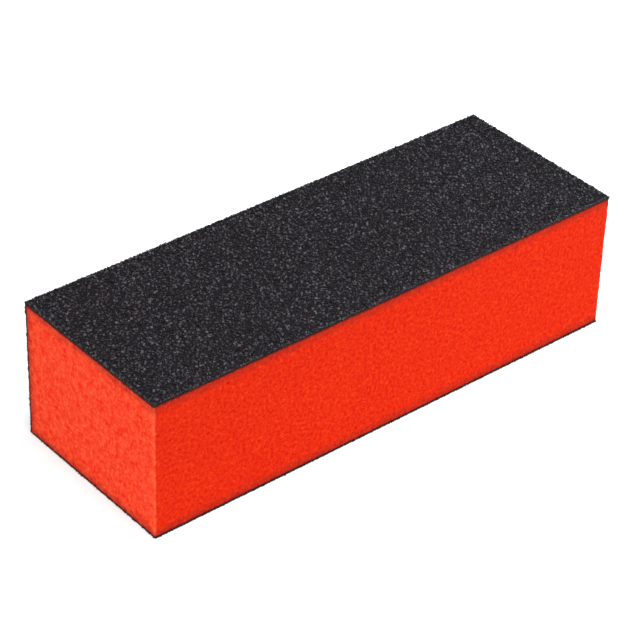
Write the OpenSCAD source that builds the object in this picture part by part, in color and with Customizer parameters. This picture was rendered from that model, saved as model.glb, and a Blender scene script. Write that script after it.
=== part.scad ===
// Nail buffing block: a springy foam bar with an abrasive sheet bonded to three of
// its four long sides. The fourth long side and both ends are bare foam.
//
// Millimetres. Z is up. The block lies on its bottom sheet, the length runs along X,
// the bare long side faces -Y and the sheeted long side faces +Y. The origin is the
// centre of the underside.
//
// Every sheet is the same laminate, counted outwards from the foam: a film of
// adhesive, a waterproof paper backing, a coat of resin and the grains bonded in it.

/* [Overall size] */

// Length of the block
block_length = 94; // [60:1:150]

// Width of the block, from the bare side to the face of the back sheet
block_width = 33.4; // [20:0.1:60]

// Height of the block, from the face of the bottom sheet to the face of the top sheet
block_height = 25.6; // [12:0.1:50]

/* [Foam bar] */

// Radius left by the blade on the two upright edges of the bare side
cut_edge_radius = 0.4; // [0.1:0.1:2]

/* [Abrasive sheets] */

// Thickness of the adhesive film between foam and backing
adhesive_thickness = 0.05; // [0.02:0.01:0.3]

// Thickness of the waterproof paper backing
backing_thickness = 0.12; // [0.08:0.01:0.6]

// Thickness of the resin coat that holds the grains
resin_thickness = 0.08; // [0.04:0.01:0.3]

// Height the grains stand above the resin
grain_height = 0.25; // [0.05:0.01:0.6]

// Hairline left between the long edges of the back sheet and the sheets above and below
edge_gap = 0.15; // [0.05:0.05:0.5]

/* [Hidden] */

$fn = 64;

// One whole sheet, from foam to grain tips.
sheet_thickness = adhesive_thickness + backing_thickness + resin_thickness + grain_height;

// The foam bar fills what the sheets leave.
foam_depth = block_width - sheet_thickness;
foam_height = block_height - 2 * sheet_thickness;
front_y = -block_width / 2;
foam_back_y = front_y + foam_depth;
foam_bottom_z = sheet_thickness;
foam_top_z = foam_bottom_z + foam_height;

// Distance from the foam to the near side of each layer, the same on all three sides.
backing_from_foam = adhesive_thickness;
resin_from_foam = backing_from_foam + backing_thickness;
grains_from_foam = resin_from_foam + resin_thickness;

// The back sheet is cut narrower than the foam is high, so it sits between the others.
back_sheet_height = foam_height - 2 * edge_gap;
back_sheet_z = foam_bottom_z + edge_gap;

// How far a cut runs past the surface it opens.
cut_margin = 1;

foam_color = [0.94, 0.20, 0.08];
adhesive_color = [0.30, 0.26, 0.22];
backing_color = [0.07, 0.07, 0.08];
resin_color = [0.05, 0.05, 0.06];
grain_color = [0.17, 0.17, 0.19];

// The sliver that comes off one upright edge of the bare side: a square bar less a
// quarter round. The foam's square corner is at the origin, and the round touches the
// foam's end on one side and its bare side on the other. side is -1 or 1 along X.
module edge_offcut(side) {
    bar = cut_edge_radius + cut_margin;
    difference() {
        translate([side > 0 ? -cut_edge_radius : -cut_margin, -cut_margin, -cut_margin])
            cube([bar, bar, foam_height + 2 * cut_margin]);
        translate([-side * cut_edge_radius, cut_edge_radius, -2 * cut_margin])
            cylinder(r = cut_edge_radius, h = foam_height + 4 * cut_margin);
    }
}

// One layer of the top or bottom sheet: the whole length and width of the block.
module level_layer(low_z, thickness) {
    translate([-block_length / 2, front_y, low_z])
        cube([block_length, block_width, thickness]);
}

// One layer of the top sheet, placed by its distance from the foam.
module top_layer(from_foam, thickness) {
    level_layer(foam_top_z + from_foam, thickness);
}

// One layer of the bottom sheet, the same laminate turned over.
module bottom_layer(from_foam, thickness) {
    level_layer(foam_bottom_z - from_foam - thickness, thickness);
}

// One layer of the back sheet, standing on edge between the other two sheets.
module back_layer(from_foam, thickness) {
    translate([-block_length / 2, foam_back_y + from_foam, back_sheet_z])
        cube([block_length, thickness, back_sheet_height]);
}

// The springy bar, sawn from a sheet of closed-cell foam.
module foam_core() {
    color(foam_color)
    difference() {
        translate([-block_length / 2, front_y, foam_bottom_z])
            cube([block_length, foam_depth, foam_height]);
        for (side = [-1, 1])
            translate([side * block_length / 2, front_y, foam_bottom_z])
                edge_offcut(side);
    }
}

module top_adhesive() {
    color(adhesive_color)
        top_layer(0, adhesive_thickness);
}

module top_backing() {
    color(backing_color)
        top_layer(backing_from_foam, backing_thickness);
}

module top_resin_coat() {
    color(resin_color)
        top_layer(resin_from_foam, resin_thickness);
}

module top_grit() {
    color(grain_color)
        top_layer(grains_from_foam, grain_height);
}

module back_adhesive() {
    color(adhesive_color)
        back_layer(0, adhesive_thickness);
}

module back_backing() {
    color(backing_color)
        back_layer(backing_from_foam, backing_thickness);
}

module back_resin_coat() {
    color(resin_color)
        back_layer(resin_from_foam, resin_thickness);
}

module back_grit() {
    color(grain_color)
        back_layer(grains_from_foam, grain_height);
}

module bottom_adhesive() {
    color(adhesive_color)
        bottom_layer(0, adhesive_thickness);
}

module bottom_backing() {
    color(backing_color)
        bottom_layer(backing_from_foam, backing_thickness);
}

module bottom_resin_coat() {
    color(resin_color)
        bottom_layer(resin_from_foam, resin_thickness);
}

module bottom_grit() {
    color(grain_color)
        bottom_layer(grains_from_foam, grain_height);
}

foam_core();

top_adhesive();
top_backing();
top_resin_coat();
top_grit();

back_adhesive();
back_backing();
back_resin_coat();
back_grit();

bottom_adhesive();
bottom_backing();
bottom_resin_coat();
bottom_grit();
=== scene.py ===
import math
import random

import bmesh
import bpy
import numpy as np
from mathutils import Matrix, Vector, noise


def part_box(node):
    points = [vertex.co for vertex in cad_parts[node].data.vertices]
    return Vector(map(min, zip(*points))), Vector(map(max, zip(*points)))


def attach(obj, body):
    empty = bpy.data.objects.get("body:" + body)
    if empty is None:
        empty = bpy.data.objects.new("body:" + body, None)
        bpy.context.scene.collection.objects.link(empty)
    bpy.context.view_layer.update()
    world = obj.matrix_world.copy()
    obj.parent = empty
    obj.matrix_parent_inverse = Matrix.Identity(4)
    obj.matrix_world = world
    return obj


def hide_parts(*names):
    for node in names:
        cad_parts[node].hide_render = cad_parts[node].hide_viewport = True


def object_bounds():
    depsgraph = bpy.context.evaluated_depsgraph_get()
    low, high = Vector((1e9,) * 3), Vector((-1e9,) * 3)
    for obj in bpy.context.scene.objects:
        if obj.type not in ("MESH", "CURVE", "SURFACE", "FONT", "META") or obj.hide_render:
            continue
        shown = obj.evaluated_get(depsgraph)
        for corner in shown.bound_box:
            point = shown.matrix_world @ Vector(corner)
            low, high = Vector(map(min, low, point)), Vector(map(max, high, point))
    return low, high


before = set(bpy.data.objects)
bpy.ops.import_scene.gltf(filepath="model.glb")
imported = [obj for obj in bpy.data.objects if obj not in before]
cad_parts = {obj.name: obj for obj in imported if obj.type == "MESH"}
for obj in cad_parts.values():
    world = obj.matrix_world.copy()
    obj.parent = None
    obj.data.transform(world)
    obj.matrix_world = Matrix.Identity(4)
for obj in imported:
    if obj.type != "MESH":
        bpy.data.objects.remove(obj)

cad_low, cad_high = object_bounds()
MM = 0.001

# ---------------------------------------------------------------------------------------
# The table, the lamps and the camera.
# The block lies on a matt white table under a wide ceiling of soft light, with a large
# soft lamp by its near end and a smaller, cooler one by its far end.
# ---------------------------------------------------------------------------------------
middle = (cad_low + cad_high) / 2

camera_azimuth = math.radians(-40.86)
camera_elevation = math.radians(35.22)
camera_roll = math.radians(2.0)
camera_distance = 414.2 * MM
camera_aside = -0.81 * MM
camera_raised = -1.30 * MM
lens_mm = 143.02
sensor_mm = 36


def away_from_block(azimuth, elevation):
    """The direction from the block to a point round it. Azimuth 0 is in front of the bare side."""
    return Vector((
        math.sin(azimuth) * math.cos(elevation),
        -math.cos(azimuth) * math.cos(elevation),
        math.sin(elevation),
    ))


def aim(thing, place, target):
    """Puts a lamp or camera at a place, looking at a target."""
    thing.location = place
    thing.rotation_mode = "QUATERNION"
    thing.rotation_quaternion = (target - place).to_track_quat("-Z", "Y")


camera = bpy.data.objects.new("camera", bpy.data.cameras.new("camera"))
bpy.context.scene.collection.objects.link(camera)
bpy.context.scene.camera = camera
camera.data.lens = lens_mm
camera.data.sensor_width = sensor_mm
back = away_from_block(camera_azimuth, camera_elevation)
right = Vector((0, 0, 1)).cross(back).normalized()
up = back.cross(right)
shifted_middle = middle + right * camera_aside + up * camera_raised
aim(camera, shifted_middle + back * camera_distance, shifted_middle)
camera.rotation_quaternion @= Matrix.Rotation(camera_roll, 4, "Z").to_quaternion()
camera.data.clip_start = 0.01
camera.data.clip_end = 20


def soft_lamp(name, azimuth, elevation, distance, width, power, color=(1.0, 1.0, 1.0)):
    """A square studio soft box that looks at the block."""
    lamp = bpy.data.objects.new(name, bpy.data.lights.new(name, "AREA"))
    bpy.context.scene.collection.objects.link(lamp)
    lamp.data.shape = "SQUARE"
    lamp.data.size = width
    lamp.data.energy = power
    lamp.data.color = color
    direction = away_from_block(math.radians(azimuth), math.radians(elevation))
    aim(lamp, middle + direction * distance, middle)


soft_lamp("end_soft_box", azimuth=-74, elevation=40, distance=0.75, width=0.30, power=2.5)
soft_lamp(
    "side_soft_box", azimuth=72, elevation=30, distance=0.34, width=0.20, power=1.1,
    color=(0.72, 1.0, 1.0),
)
soft_lamp("ceiling_soft_box", azimuth=-30, elevation=78, distance=1.1, width=0.7, power=11.0)

bpy.context.scene.view_settings.view_transform = "Standard"


class Signal:
    """One output of a finish's nodes. Arithmetic on it adds the Math nodes for it."""

    def __init__(self, socket):
        self.socket = socket

    def node(self, kind, settings, inputs, output=0):
        """Adds a node beside this one, and gives the signal at one of its outputs."""
        tree = self.socket.id_data
        made = tree.nodes.new(kind)
        for name, value in settings.items():
            setattr(made, name, value)
        for name, value in inputs.items():
            if isinstance(value, Signal):
                tree.links.new(value.socket, made.inputs[name])
            else:
                made.inputs[name].default_value = value
        return Signal(made.outputs[output]) if len(made.outputs) else None

    def math(self, operation, first, second):
        """One step of arithmetic on two signals or plain numbers."""
        return self.node("ShaderNodeMath", {"operation": operation}, {0: first, 1: second})

    def __add__(self, other):
        return self.math("ADD", self, other)

    __radd__ = __add__

    def __sub__(self, other):
        return self.math("SUBTRACT", self, other)

    def __rsub__(self, other):
        return self.math("SUBTRACT", other, self)

    def __mul__(self, other):
        return self.math("MULTIPLY", self, other)

    __rmul__ = __mul__

    def __pow__(self, other):
        return self.math("POWER", self, other)

    def __abs__(self):
        return self.math("ABSOLUTE", self, 0.0)

    def or_less(self, other):
        """The smaller of this signal and another."""
        return self.math("MINIMUM", self, other)

    def along(self, axis):
        """One coordinate of a place or a direction."""
        return self.node("ShaderNodeSeparateXYZ", {}, {"Vector": self}, output=axis)

    def mix(self, low, high):
        """A colour that goes from low to high as this signal goes from 0 to 1."""
        settings = {"data_type": "RGBA", "clamp_factor": True}
        return self.node("ShaderNodeMix", settings, {0: self, 6: low, 7: high}, output=2)

    def between(self, start, end):
        """0 below start, 1 above end, and smooth in between."""
        settings = {"interpolation_type": "SMOOTHSTEP"}
        inputs = {"Value": self, "From Min": start, "From Max": end}
        return self.node("ShaderNodeMapRange", settings, inputs)


def new_finish(name):
    """An empty material, and the block's own coordinates in it, in metres."""
    material = bpy.data.materials.new(name)
    material.use_nodes = True
    material.node_tree.nodes.clear()
    coordinates = material.node_tree.nodes.new("ShaderNodeTexCoord")
    return material, Signal(coordinates.outputs["Object"])


def finish_surface(place, inputs):
    """The closing shader of a finish."""
    shader = place.node("ShaderNodeBsdfPrincipled", {}, inputs)
    place.node("ShaderNodeOutputMaterial", {}, {"Surface": shader})


# The room is dim overhead, and its walls are pale up to a little over the table.
wall_light, overhead_light = 0.92, 0.30
wall_fades, wall_ends = 0.09, 0.18

room = bpy.data.worlds.new("studio")
bpy.context.scene.world = room
room.use_nodes = True
background = room.node_tree.nodes["Background"]
direction = Signal(room.node_tree.nodes.new("ShaderNodeTexCoord").outputs["Generated"])
rise = direction.along("Z").between(wall_fades, wall_ends)
room_light = wall_light - rise * (wall_light - overhead_light)
room.node_tree.links.new(room_light.socket, background.inputs["Strength"])
background.inputs["Color"].default_value = (1.0, 1.0, 1.0, 1)

table_reach = 0.8
table_white = (0.90, 0.90, 0.90, 1)

table_shape = bmesh.new()
bmesh.ops.create_grid(table_shape, x_segments=1, y_segments=1, size=table_reach)
table_mesh = bpy.data.meshes.new("table_top")
table_shape.to_mesh(table_mesh)
table_shape.free()
table_top = bpy.data.objects.new("table_top", table_mesh)
bpy.context.scene.collection.objects.link(table_top)
table_finish, place = new_finish("white_table")
finish_surface(place, {"Base Color": table_white, "Roughness": 0.9, "Specular IOR Level": 0.1})
table_mesh.materials.append(table_finish)


# ---------------------------------------------------------------------------------------
# The foam bar.
# Closed-cell foam, dyed orange-red through and sawn from a thick sheet. The saw opens the
# cells it passes through, so the cut faces are finely dimpled, with a larger burst cell here
# and there, and the two free upright edges are left a little round.
# ---------------------------------------------------------------------------------------
X, Y, Z = 0, 1, 2
foam_grid = 0.205 * MM
edge_round = 0.35 * MM
edge_facets = 4
proud = 0.06 * MM

# The open cells are sunk less in a narrow margin along the sheets, which hold the foam there.
cell_size, cell_reach, cell_depth = 0.66 * MM, 0.6, 0.07 * MM
burst_spacing, burst_reach, burst_depth = 1.3 * MM, 0.2, 0.16 * MM
burst_above = 0.3
end_deepening = 1.2
held_margin = 0.12 * MM
held_share = 0.25
swell_length, swell_height = 4 * MM, 0.02 * MM

# The ends' colours are paler than the side's: painted light for the brighter lamp on the ends.
side_light, side_deep = (0.73, 0.037, 0.005, 1), (0.54, 0.001, 0.0005, 1)
end_pale_with_painted_light, end_deep_with_painted_light = (0.81, 0.103, 0.037, 1), (0.67, 0.010, 0.002, 1)
glue_soaked = (0.16, 0.006, 0.003, 1)
# Near the sheets the foam is darkened: partly grinding dust, partly painted shade along the joints.
dust_and_painted_shade = (0.05, 0.018, 0.014, 1)
dust_and_shade_share = 0.4
dust_and_shade_width, soaked_width = 2.0 * MM, 0.3 * MM


def block_between(low, high):
    """A plain block from its lowest to its highest corner, to be cut finer."""
    shape = bmesh.new()
    bmesh.ops.create_cube(shape, size=1.0)
    bmesh.ops.scale(shape, vec=high - low, verts=shape.verts)
    bmesh.ops.translate(shape, vec=(low + high) / 2, verts=shape.verts)
    return shape


def remove_faces_along(shape, direction):
    """Takes off the flat faces that look along a direction."""
    faces = [face for face in shape.faces if face.normal.dot(direction) > 0.99]
    bmesh.ops.delete(shape, geom=faces, context="FACES")


def divide(shape, axis, spacing, where=lambda point: True):
    """Cuts the edges that run along an axis into lengths of about one spacing."""
    runs = []
    for edge in shape.edges:
        span = edge.verts[1].co - edge.verts[0].co
        if abs(span[axis]) > 0.999 * span.length and where((edge.verts[0].co + edge.verts[1].co) / 2):
            runs.append(edge)
    longest = max(edge.calc_length() for edge in runs)
    cuts = round(longest / spacing) - 1
    bmesh.ops.subdivide_edges(shape, edges=runs, cuts=cuts)


def close_openings(shape):
    """Puts one flat face over each open outline."""
    rims = [edge for edge in shape.edges if edge.is_boundary]
    bmesh.ops.holes_fill(shape, edges=rims, sides=0)
    bmesh.ops.recalc_face_normals(shape, faces=shape.faces)


def as_piece(name, shape, finish, stands_for, smooth=True):
    """Makes a finished shape into a piece of the block."""
    mesh = bpy.data.meshes.new(name)
    shape.to_mesh(mesh)
    shape.free()
    for polygon in mesh.polygons:
        polygon.use_smooth = smooth
    mesh.materials.append(finish)
    piece = bpy.data.objects.new(name, mesh)
    bpy.context.scene.collection.objects.link(piece)
    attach(piece, "root")
    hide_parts(stands_for)
    return piece


foam_low, foam_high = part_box("foam_core")
bar = block_between(foam_low - Vector((proud, proud, 0)), foam_high + Vector((proud, 0, 0)))
bare_side = foam_low.y
upright_edges = [
    edge for edge in bar.edges
    if all(vert.co.y < bare_side for vert in edge.verts)
    and abs(edge.verts[0].co.z - edge.verts[1].co.z) > MM
]
bmesh.ops.bevel(
    bar, geom=upright_edges, offset=edge_round, offset_type="OFFSET", segments=edge_facets,
    profile=0.5, material=-1, affect="EDGES",
)
remove_faces_along(bar, Vector((0, 0, 1)))
remove_faces_along(bar, Vector((0, 0, -1)))
divide(bar, X, foam_grid, where=lambda point: point.y < bare_side)
divide(bar, Y, foam_grid)
divide(bar, Z, foam_grid)


def opened_cells(point):
    """How deep the cut cells are at a point, from 0 to 1, and how deep the burst ones are."""
    distances, centres = noise.voronoi(point / cell_size)
    cell = max(0.0, 1.0 - (distances[0] / cell_reach) ** 2)
    burst_distances, burst_centres = noise.voronoi(point / burst_spacing + Vector((7.3, 1.9, 4.1)))
    is_burst = noise.cell(burst_centres[0] * 9.7) > burst_above
    burst = max(0.0, 1.0 - (burst_distances[0] / burst_reach) ** 2) if is_burst else 0.0
    return cell, burst


bar.normal_update()
painted_pit_shade_layer = bar.verts.layers.float.new("painted_pit_shade")
hidden_back = foam_high.y - 0.01 * MM
for vert in bar.verts:
    if vert.co.y < hidden_back:
        from_sheet = min(vert.co.z - foam_low.z, foam_high.z - vert.co.z)
        free = min(1.0, held_share + from_sheet / held_margin)
        cell, burst = opened_cells(vert.co)
        swell = swell_height * noise.fractal(vert.co / swell_length, 0.9, 2.0, 3)
        # Painted shade: the deeper cells and burst pits are marked so that the finish darkens them.
        vert[painted_pit_shade_layer] = min(1.0, 0.45 * cell + 0.75 * burst)
        torn_open = end_deepening if abs(vert.normal.x) > 0.8 else 1.0
        vert.co -= vert.normal * (torn_open * cell_depth * cell + burst_depth * burst + swell) * free
close_openings(bar)


def clouds(place, size, detail=2.0, roughness=0.5):
    """Soft noise from 0 to 1 whose blobs are about size metres across."""
    settings = {"noise_dimensions": "3D"}
    inputs = {"Vector": place, "Scale": 1 / size, "Detail": detail, "Roughness": roughness}
    return place.node("ShaderNodeTexNoise", settings, inputs)


def carried(place, name):
    """A number that the piece's own mesh carries at every point."""
    return place.node("ShaderNodeAttribute", {"attribute_name": name}, {}, output="Fac")


def relief(height, strength, depth):
    """The fine bumps of a finish, from a signal of their height."""
    inputs = {"Strength": strength, "Distance": depth, "Height": height}
    return height.node("ShaderNodeBump", {}, inputs)


foam_finish, place = new_finish("sawn_orange_foam")
# Painted shade in the deeper cells and burst pits, read from the mesh.
painted_pit_shade = carried(place, "painted_pit_shade")
cells = place.node(
    "ShaderNodeTexVoronoi", {"feature": "SMOOTH_F1"},
    {"Vector": place, "Scale": 1 / (0.42 * MM), "Smoothness": 0.35, "Randomness": 1.0},
)
mottle = clouds(place, 0.62 * MM, detail=3.0, roughness=0.65)
patches = clouds(place, 9 * MM)
lumps = clouds(place, 1.3 * MM)
flecks = clouds(place, 0.5 * MM, detail=1.0).between(0.60, 0.76)

# The ends are torn more coarsely than the side. They are also given paler colours than the side as
# painted light, and a painted highlight runs down them beside their front edge.
on_the_ends = abs(place.along("X")).between(foam_high.x - 0.3 * MM, foam_high.x - 0.08 * MM)
from_front = place.along("Y") - foam_low.y
# Painted highlight: a pale band down each end beside its front edge, where the rounded edge meets the
# light.
painted_edge_highlight = on_the_ends * (1.0 - from_front.between(0.2 * MM, 0.9 * MM))
# Painted highlight: the small cells are lighter towards their rims.
tone = (
    mottle.between(0.3, 0.7) * (0.6 - on_the_ends * 0.2)
    + cells.between(0.1, 0.7) * 0.15
    + patches * 0.15
    + 0.05
    + flecks * 0.7
    - painted_pit_shade * 0.22
    + on_the_ends * (lumps - 0.52)
    + painted_edge_highlight * 0.22
)
# Painted light: the ends take their paler colours.
dye_and_painted_light = on_the_ends.mix(tone.mix(side_deep, side_light), tone.mix(end_deep_with_painted_light, end_pale_with_painted_light))

# Near the sheets the foam is darker: partly black dust from the grinding that clings there, partly
# painted shade along the joints. Glue has soaked in right beside them.
from_level_sheet = (place.along("Z") - foam_low.z).or_less(foam_high.z - place.along("Z"))
from_any_sheet = from_level_sheet.or_less(foam_high.y - place.along("Y"))
clear_of_dust_and_shade = (from_any_sheet + (lumps - 0.5) * 1.6 * MM).between(0.1 * MM, dust_and_shade_width)
glue_free = (from_any_sheet + (mottle - 0.5) * 0.6 * MM).between(0.0, soaked_width)
dusted_and_shaded = (dust_and_shade_share - clear_of_dust_and_shade * dust_and_shade_share).mix(dye_and_painted_light, dust_and_painted_shade)
finish_surface(place, {
    "Base Color": glue_free.mix(glue_soaked, dusted_and_shaded),
    "Roughness": 0.62 + mottle * 0.25,
    "Specular IOR Level": 0.03,
    "Normal": relief(cells + mottle * 0.5, strength=0.8, depth=0.08 * MM),
})
foam_bar = as_piece("foam_bar", bar, foam_finish, "foam_core")


# ---------------------------------------------------------------------------------------
# The adhesive films.
# Contact adhesive is rolled on between the foam and each sheet. It dries to a dull red-brown
# film whose edge wanders a little along every cut.
# ---------------------------------------------------------------------------------------
film_grid = 0.3 * MM
film_wander, film_grain = 0.035 * MM, 0.7 * MM


def sawn_sheet(box, spacing, rows, wander, grain):
    """A thin sheet cut to a box, with finely divided edges that wander by up to wander."""
    low, high = box
    sheet = block_between(low, high)
    thin_axis = min((X, Y, Z), key=lambda axis: high[axis] - low[axis])
    outward = Vector([float(axis == thin_axis) for axis in (X, Y, Z)])
    remove_faces_along(sheet, outward)
    remove_faces_along(sheet, -outward)
    for axis in (X, Y, Z):
        extent = high[axis] - low[axis]
        divide(sheet, axis, extent / rows if axis == thin_axis else spacing)
    sheet.normal_update()
    for vert in sheet.verts:
        vert.co += vert.normal * wander * noise.fractal(vert.co / grain, 0.8, 2.0, 2)
    close_openings(sheet)
    return sheet


film_finish, place = new_finish("dried_contact_adhesive")
streaks = clouds(place, 0.5 * MM, detail=3.0, roughness=0.6)
finish_surface(place, {
    "Base Color": streaks.mix((0.10, 0.012, 0.006, 1), (0.26, 0.035, 0.015, 1)),
    "Roughness": 0.5 + streaks * 0.3,
    "Specular IOR Level": 0.3,
    "Normal": relief(streaks, strength=0.4, depth=0.02 * MM),
})
for side in ("top", "back", "bottom"):
    film = sawn_sheet(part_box(side + "_adhesive"), film_grid, 1, film_wander, film_grain)
    as_piece(side + "_adhesive_film", film, film_finish, side + "_adhesive")


# ---------------------------------------------------------------------------------------
# The paper backings.
# Heavy black latex paper, die cut with the block. Only its edge shows, as a thin dark line
# that is slightly furred by the fibres the blade pulled out.
# ---------------------------------------------------------------------------------------
paper_grid = 0.22 * MM
paper_fray, paper_grain = 0.03 * MM, 0.35 * MM

paper_finish, place = new_finish("black_latex_paper")
fibres = clouds(place, 0.12 * MM, detail=3.0, roughness=0.65)
pulp = clouds(place, 0.9 * MM)
finish_surface(place, {
    "Base Color": (fibres * 0.6 + pulp * 0.4).mix((0.002, 0.002, 0.002, 1), (0.012, 0.011, 0.012, 1)),
    "Roughness": 0.75 + fibres * 0.2,
    "Specular IOR Level": 0.06,
    "Normal": relief(fibres, strength=0.6, depth=0.02 * MM),
})
for side in ("top", "back", "bottom"):
    paper = sawn_sheet(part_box(side + "_backing"), paper_grid, 2, paper_fray, paper_grain)
    as_piece(side + "_paper_backing", paper, paper_finish, side + "_backing")


# ---------------------------------------------------------------------------------------
# The resin coats.
# Black phenolic resin is spread on the paper, the grains are shot into it, and it cures in
# low waves that climb a little round the grains.
# ---------------------------------------------------------------------------------------
resin_grid = 0.4 * MM
resin_climb, resin_wave = 0.13 * MM, 0.7 * MM
violet_sheen = (1.0, 0.85, 0.96, 1)

# Each sheet is built lying flat, face up, and then turned on to its side of the block.
turns = {
    "top": Matrix.Identity(4),
    "back": Matrix.Rotation(math.radians(-90), 4, "X"),
    "bottom": Matrix.Rotation(math.radians(180), 4, "X"),
}


def laid_flat(box, turn):
    """The box of a layer after its sheet is turned back to lie flat, face up."""
    corners = [turn.inverted() @ corner for corner in box]
    low = Vector([min(corner[axis] for corner in corners) for axis in (X, Y, Z)])
    high = Vector([max(corner[axis] for corner in corners) for axis in (X, Y, Z)])
    return low, high


resin_finish, place = new_finish("black_phenolic_resin")
waves = clouds(place, 0.25 * MM)
finish_surface(place, {
    "Base Color": waves.mix((0.002, 0.002, 0.002, 1), (0.009, 0.007, 0.009, 1)),
    "Roughness": 0.45 + waves * 0.25,
    "Specular IOR Level": 0.15,
    "Specular Tint": violet_sheen,
    "Normal": relief(waves, strength=0.5, depth=0.05 * MM),
})
for side, turn in turns.items():
    low, high = laid_flat(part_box(side + "_resin_coat"), turn)
    coat = block_between(low, high)
    remove_faces_along(coat, Vector((0, 0, -1)))
    divide(coat, X, resin_grid)
    divide(coat, Y, resin_grid)
    for vert in coat.verts:
        if vert.co.z > high.z - 0.001 * MM:
            vert.co.z += resin_climb * (0.5 + 0.5 * noise.noise(vert.co / resin_wave))
    close_openings(coat)
    bmesh.ops.transform(coat, matrix=turn, verts=coat.verts)
    as_piece(side + "_resin_coat_cured", coat, resin_finish, side + "_resin_coat")


# ---------------------------------------------------------------------------------------
# The abrasive grains.
# Crushed silicon carbide: hard, black, sharp chips with flat broken faces that glint. The
# coarse ones stand on end in the resin, and finer ones fill in between them.
# ---------------------------------------------------------------------------------------
chance = random.Random(20)
chip_shapes = 48
chip_corners = 8
coarse_size, coarse_spacing = 0.56 * MM, 0.56 * MM
fine_size, fine_spacing = 0.34 * MM, 0.48 * MM
rim_size, rim_spacing = 0.40 * MM, 0.26 * MM
size_spread, smallest, largest = 0.2, 0.6, 1.5
lean_spread = 0.6
overhang = 0.22 * MM
rooted = 0.06 * MM


def broken_chip():
    """One chip about 1 across: the hull of a few corners thrown on a slightly uneven ball."""
    chip = bmesh.new()
    stretch = Vector((chance.uniform(0.75, 1.0), chance.uniform(0.7, 0.95), chance.uniform(0.8, 1.15)))
    for _ in range(chip_corners):
        corner = Vector((chance.gauss(0, 1), chance.gauss(0, 1), chance.gauss(0, 1))).normalized()
        chip.verts.new(corner * stretch * 0.5)
    bmesh.ops.convex_hull(chip, input=chip.verts)
    bmesh.ops.recalc_face_normals(chip, faces=chip.faces)
    mesh = bpy.data.meshes.new("chip")
    chip.to_mesh(mesh)
    chip.free()
    mesh.attributes.new("grain_tone", "FLOAT", "POINT")
    return mesh


chips = [broken_chip() for _ in range(chip_shapes)]


def add_grain(grains, x, y, floor_z, tip, size):
    """Sets one chip in the resin: at random on its side, its tip at a height over the resin."""
    chip = chance.choice(chips)
    chip.attributes["grain_tone"].data.foreach_set("value", [chance.random()] * len(chip.vertices))
    lean = (
        Matrix.Rotation(chance.gauss(0, lean_spread), 4, "X")
        @ Matrix.Rotation(chance.gauss(0, lean_spread), 4, "Y")
    )
    spin = Matrix.Rotation(chance.uniform(0, 2 * math.pi), 4, "Z")
    turned = spin @ lean @ Matrix.Scale(size, 4)
    chip.transform(turned)
    heights = [vert.co.z for vert in chip.vertices]
    squash = min(1.0, (tip + rooted) / (max(heights) - min(heights)))
    stand = Matrix.Translation((x, y, floor_z + tip - squash * max(heights)))
    placed = stand @ Matrix.Diagonal((1, 1, squash, 1))
    chip.transform(placed)
    grains.from_mesh(chip)
    chip.transform((placed @ turned).inverted())


def scatter_grains(low, high, spacing, size, tip_low, tip_high):
    """Chips on a jittered grid over a flat layer, their tips between two shares of its height."""
    grains = bmesh.new()
    rows = round((high.y - low.y) / spacing)
    columns = round((high.x - low.x) / spacing)
    for row in range(rows):
        for column in range(columns):
            across = (column + 0.5 + chance.uniform(-0.5, 0.5)) / columns
            along = (row + 0.5 + chance.uniform(-0.5, 0.5)) / rows
            scale = size * min(largest, max(smallest, chance.gauss(1.0, size_spread)))
            reach = scale * 0.4 - chance.uniform(0, overhang)
            x = min(high.x - reach, max(low.x + reach, low.x + across * (high.x - low.x)))
            y = min(high.y - reach, max(low.y + reach, low.y + along * (high.y - low.y)))
            tip = (high.z - low.z) * chance.uniform(tip_low, tip_high)
            add_grain(grains, x, y, low.z, tip, scale)
    return grains


def add_rim(grains, low, high, spacing, size, tip_low, tip_high):
    """The broken grains that the blade leaves standing close together along the four cuts."""
    for axis, other in ((X, Y), (Y, X)):
        count = round((high[axis] - low[axis]) / spacing)
        for cut, inward in ((low[other], 1), (high[other], -1)):
            for step in range(count):
                spot = [0.0, 0.0]
                share = (step + 0.5 + chance.uniform(-0.4, 0.4)) / count
                spot[axis] = low[axis] + share * (high[axis] - low[axis])
                spot[other] = cut + inward * chance.uniform(0.04, 0.18) * MM
                tip = (high.z - low.z) * chance.uniform(tip_low, tip_high)
                add_grain(grains, spot[X], spot[Y], low.z, tip, size * chance.uniform(0.8, 1.2))


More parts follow.
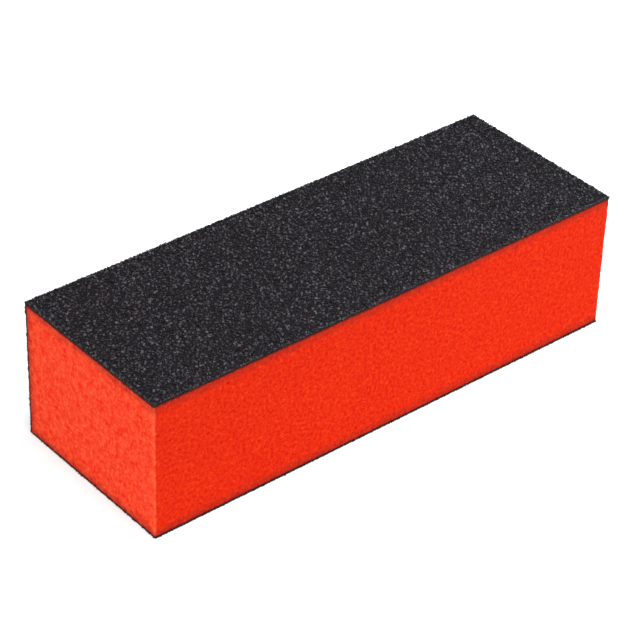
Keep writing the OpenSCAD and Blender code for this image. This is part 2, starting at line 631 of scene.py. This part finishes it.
def grain_finish(name, dark, pale, contrast, roughness):
    """Broken black crystal: every chip its own grey, with faint tints that drift across."""
    material, place = new_finish(name)
    shade = carried(place, "grain_tone")
    tint = clouds(place, 3.0 * MM, roughness=0.6)
    tinted = tint.between(0.35, 0.65).mix((0.94, 0.86, 0.98, 1), (1.0, 0.84, 0.93, 1))
    clumps = clouds(place, 1.5 * MM, detail=1.0)
    grey = (shade ** contrast * (0.3 + clumps * 1.4)).mix(dark, pale)
    settings = {"data_type": "RGBA", "blend_type": "MULTIPLY"}
    color = place.node("ShaderNodeMix", settings, {0: 1.0, 6: grey, 7: tinted}, output=2)
    finish_surface(place, {
        "Base Color": color,
        "Roughness": shade * 0.3 + roughness,
        "Specular IOR Level": 0.26,
        "Specular Tint": violet_sheen,
    })
    return material


def lay_flat_map(mesh, low, high, drawn_in=0.6, slant=(0.5, 0.2), margin=0.02):
    """A map for baking: the sheet from above, each chip drawn in towards its own middle.

    The slant slides a chip's higher corners aside, so that its upright faces get room too.
    """
    places = np.empty((len(mesh.vertices), 3), np.float32)
    mesh.vertices.foreach_get("co", places.ravel())
    chips_apart = places.reshape(-1, chip_corners, 3)
    middles = chips_apart.mean(axis=1, keepdims=True)
    drawn = (middles + drawn_in * (chips_apart - middles)).reshape(-1, 3)
    drawn[:, :2] += drawn[:, 2:] * slant
    across = (drawn[:, :2] - low.xy) / (high - low).xy * (1 - 2 * margin) + margin
    corners = np.empty(len(mesh.loops), np.int32)
    mesh.loops.foreach_get("vertex_index", corners)
    uv_map = mesh.uv_layers.new(name="OFBake").uv
    uv_map.foreach_set("vector", across[corners].astype(np.float32).ravel())


coarse_finish = grain_finish(
    "coarse_silicon_carbide", dark=(0.006, 0.006, 0.006, 1), pale=(0.082, 0.082, 0.082, 1),
    contrast=2.5, roughness=0.30,
)
fine_finish = grain_finish(
    "fine_silicon_carbide", dark=(0.004, 0.004, 0.004, 1), pale=(0.050, 0.050, 0.050, 1),
    contrast=1.2, roughness=0.38,
)
for side, turn in turns.items():
    low, high = laid_flat(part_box(side + "_grit"), turn)
    tallest = 1.0 if side == "bottom" else 1.3
    coarse = scatter_grains(low, high, coarse_spacing, coarse_size, 0.7, tallest)
    add_rim(coarse, low, high, rim_spacing, rim_size, 0.8, tallest)
    fine = scatter_grains(low, high, fine_spacing, fine_size, 0.45, 0.9)
    for kind, grains, finish in (("coarse", coarse, coarse_finish), ("fine", fine, fine_finish)):
        name = side + "_" + kind + "_grains"
        piece = as_piece(name, grains, finish, side + "_grit", smooth=False)
        lay_flat_map(piece.data, low, high)
        piece.data.transform(turn)
